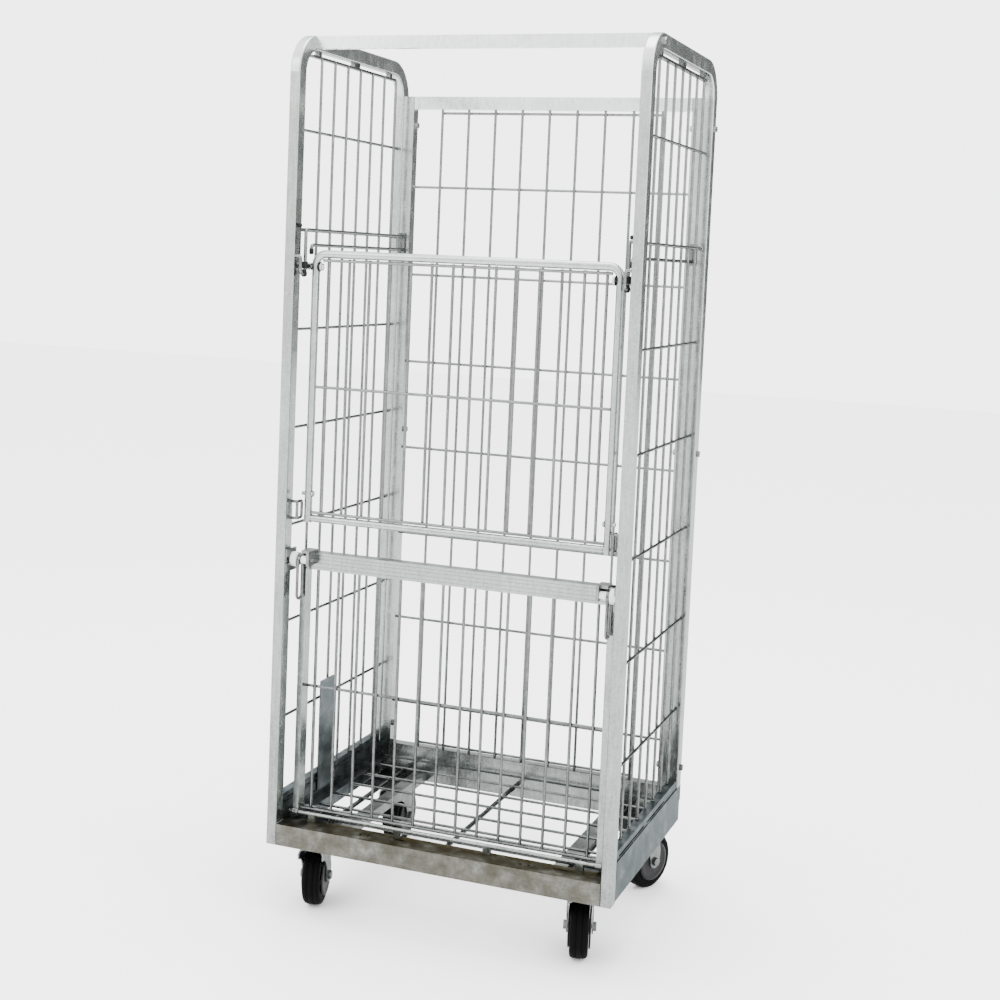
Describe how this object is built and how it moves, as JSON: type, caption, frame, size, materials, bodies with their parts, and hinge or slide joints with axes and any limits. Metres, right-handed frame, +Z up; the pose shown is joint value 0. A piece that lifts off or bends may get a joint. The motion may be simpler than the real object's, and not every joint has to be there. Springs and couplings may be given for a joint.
{
  "type": "roll cage container",
  "caption": "Tall wheeled cage of zinc-plated tube and wire with open top, a lift-and-slide upper half gate, a drop-down lower half gate and swivel casters.",
  "frame": {"origin": "on the floor under the middle of the overall plan, casters trailing to the rear", "axes": "+Z up, -Y to the gated front, +X to the right seen from the front"},
  "size_m": [0.75, 0.5655, 1.8],
  "materials": {
    "zinc_steel": "bright zinc plated",
    "black_tyre": "matt rubber",
    "dark_plastic": "moulded",
    "white_nylon": "moulded nylon"
  },
  "bodies": {
    "cage": {"base_front_rail": "zinc_steel", "base_rear_rail": "zinc_steel", "caster_bolts": "zinc_steel", "caster_plates": "zinc_steel", "corner_plates": "zinc_steel", "crossbar": "zinc_steel", "crossbar_bolts": "zinc_steel", "floor_members": "zinc_steel", "floor_mesh": "zinc_steel", "gate_keepers": "zinc_steel", "guide_rods": "zinc_steel", "hinge_rod": "zinc_steel", "latch_receivers": "zinc_steel", "left_base_rail": "zinc_steel", "left_bottom_rail": "zinc_steel", "left_rear_stile": "zinc_steel", "left_side_frame": "zinc_steel", "left_side_mesh": "zinc_steel", "left_track": "zinc_steel", "left_upright_plate": "zinc_steel", "rear_bottom_bar": "zinc_steel", "rear_mesh": "zinc_steel", "rear_panel_bolts": "zinc_steel", "rear_top_bar": "zinc_steel", "right_base_rail": "zinc_steel", "right_bottom_rail": "zinc_steel", "right_rear_stile": "zinc_steel", "right_side_frame": "zinc_steel", "right_side_mesh": "zinc_steel", "right_track": "zinc_steel"},
    "upper_gate": {"upper_gate_frame": "zinc_steel", "upper_gate_mesh": "zinc_steel", "upper_gate_pins": "zinc_steel", "upper_gate_pegs": "zinc_steel"},
    "lower_gate": {"lower_gate_frame": "zinc_steel", "lower_gate_rail": "zinc_steel", "lower_gate_mesh": "zinc_steel", "latch_shafts": "zinc_steel", "latch_bushes": "white_nylon", "latch_brackets": "zinc_steel"},
    "gate_rollers": {"gate_rollers": "zinc_steel"},
    "gate_buffers": {"gate_buffers": "dark_plastic"},
    "left_handle": {"left_latch_handle": "zinc_steel"},
    "right_handle": {"right_latch_handle": "zinc_steel"},
    "front_left_swivel": {"front_left_fork": "zinc_steel", "front_left_axle": "zinc_steel"},
    "front_left_wheel": {"front_left_hub": "dark_plastic", "front_left_tyre": "black_tyre"},
    "front_right_swivel": {"front_right_fork": "zinc_steel", "front_right_axle": "zinc_steel"},
    "front_right_wheel": {"front_right_hub": "dark_plastic", "front_right_tyre": "black_tyre"},
    "rear_left_swivel": {"rear_left_fork": "zinc_steel", "rear_left_axle": "zinc_steel"},
    "rear_left_wheel": {"rear_left_hub": "dark_plastic", "rear_left_tyre": "black_tyre"},
    "rear_right_swivel": {"rear_right_fork": "zinc_steel", "rear_right_axle": "zinc_steel"},
    "rear_right_wheel": {"rear_right_hub": "dark_plastic", "rear_right_tyre": "black_tyre"}
  },
  "joints": [
    {"name": "upper_gate_lift", "type": "slide", "parent": "cage", "child": "gate_buffers", "axis": [0, 0, 1], "range_m": [0, 0.0555]},
    {"name": "upper_gate_slide", "type": "slide", "parent": "gate_buffers", "child": "gate_rollers", "axis": [0, 1, 0], "range_m": [0, 0.41]},
    {"name": "upper_gate_swing", "type": "hinge", "parent": "gate_rollers", "child": "upper_gate", "pos_m": [0, -0.24375, 1.337], "axis": [-1, 0, 0], "range_deg": [0, 90]},
    {"name": "lower_gate_swing", "type": "hinge", "parent": "cage", "child": "lower_gate", "pos_m": [0, -0.23275, 0.208], "axis": [1, 0, 0], "range_deg": [0, 90]},
    {"name": "left_handle_turn", "type": "hinge", "parent": "lower_gate", "child": "left_handle", "pos_m": [-0.328, -0.25175, 0.7415], "axis": [-1, 0, 0], "range_deg": [0, 120]},
    {"name": "right_handle_turn", "type": "hinge", "parent": "lower_gate", "child": "right_handle", "pos_m": [0.328, -0.25175, 0.7415], "axis": [-1, 0, 0], "range_deg": [0, 120]},
    {"name": "front_left_swivel", "type": "hinge", "parent": "cage", "child": "front_left_swivel", "pos_m": [-0.292, -0.21975, 0.135], "axis": [0, 0, 1], "continuous": true},
    {"name": "front_left_roll", "type": "hinge", "parent": "front_left_swivel", "child": "front_left_wheel", "pos_m": [-0.30071, -0.18482, 0.0625], "axis": [0.9703, 0.2419, 0], "continuous": true},
    {"name": "front_right_swivel", "type": "hinge", "parent": "cage", "child": "front_right_swivel", "pos_m": [0.292, -0.21975, 0.135], "axis": [0, 0, 1], "continuous": true},
    {"name": "front_right_roll", "type": "hinge", "parent": "front_right_swivel", "child": "front_right_wheel", "pos_m": [0.28208, -0.18515, 0.0625], "axis": [0.9613, 0.2756, 0], "continuous": true},
    {"name": "rear_left_swivel", "type": "hinge", "parent": "cage", "child": "rear_left_swivel", "pos_m": [-0.292, 0.18425, 0.135], "axis": [0, 0, 1], "continuous": true},
    {"name": "rear_left_roll", "type": "hinge", "parent": "rear_left_swivel", "child": "rear_left_wheel", "pos_m": [-0.292, 0.22025, 0.0625], "axis": [1, 0, 0], "continuous": true},
    {"name": "rear_right_swivel", "type": "hinge", "parent": "cage", "child": "rear_right_swivel", "pos_m": [0.292, 0.18425, 0.135], "axis": [0, 0, 1], "continuous": true},
    {"name": "rear_right_roll", "type": "hinge", "parent": "rear_right_swivel", "child": "rear_right_wheel", "pos_m": [0.30721, 0.21688, 0.0625], "axis": [0.9063, -0.4226, 0], "continuous": true}
  ]
}
